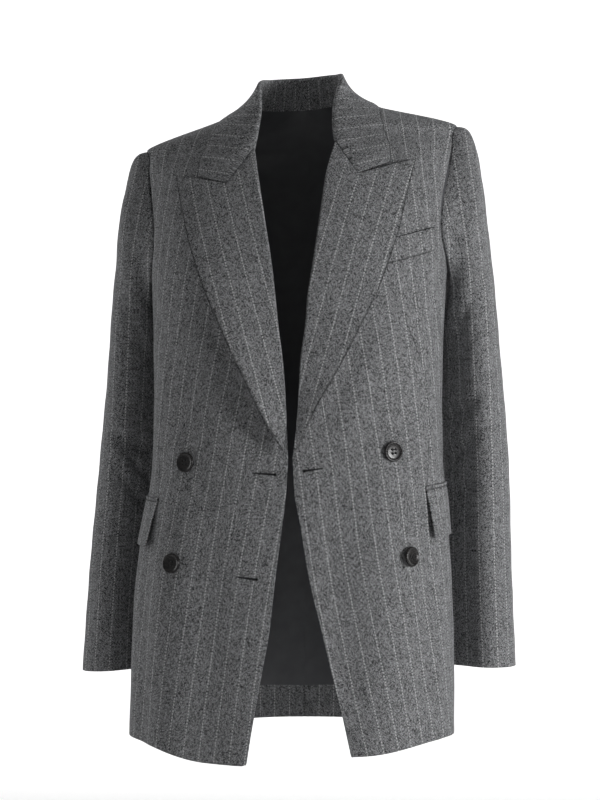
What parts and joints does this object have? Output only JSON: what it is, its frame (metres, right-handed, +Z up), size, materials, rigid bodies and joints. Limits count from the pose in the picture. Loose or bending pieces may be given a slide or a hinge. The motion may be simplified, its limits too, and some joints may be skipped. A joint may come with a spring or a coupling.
{
  "type": "double breasted blazer",
  "caption": "Double breasted blazer with peak lapels, a welt chest pocket, flap side pockets and long two-piece sleeves, worn open at the front.",
  "frame": {"origin": "on the wearer's centre line between the shoulders, at the height of the neck seam, where the wearer carries the garment", "axes": "+Z up, the front faces -Y, +X towards the wearer's left"},
  "size_m": [0.5185, 0.2996, 0.7986],
  "materials": {
    "wool_suiting": "matte",
    "dark_horn": "satin"
  },
  "bodies": {
    "root": {"front_left": "wool_suiting", "front_right": "wool_suiting", "side_left": "wool_suiting", "side_right": "wool_suiting", "back_left": "wool_suiting", "back_right": "wool_suiting", "upper_sleeve_left": "wool_suiting", "upper_sleeve_right": "wool_suiting", "under_sleeve_left": "wool_suiting", "under_sleeve_right": "wool_suiting", "lapel_left": "wool_suiting", "lapel_right": "wool_suiting", "pocket_flap_left": "wool_suiting", "pocket_flap_right": "wool_suiting", "pocket_jet_left": "wool_suiting", "pocket_jet_right": "wool_suiting", "collar": "wool_suiting", "collar_stand": "wool_suiting", "breast_welt": "wool_suiting", "button_upper_left": "dark_horn", "button_upper_right": "dark_horn", "button_lower_left": "dark_horn", "button_lower_right": "dark_horn"}
  },
  "joints": []
}
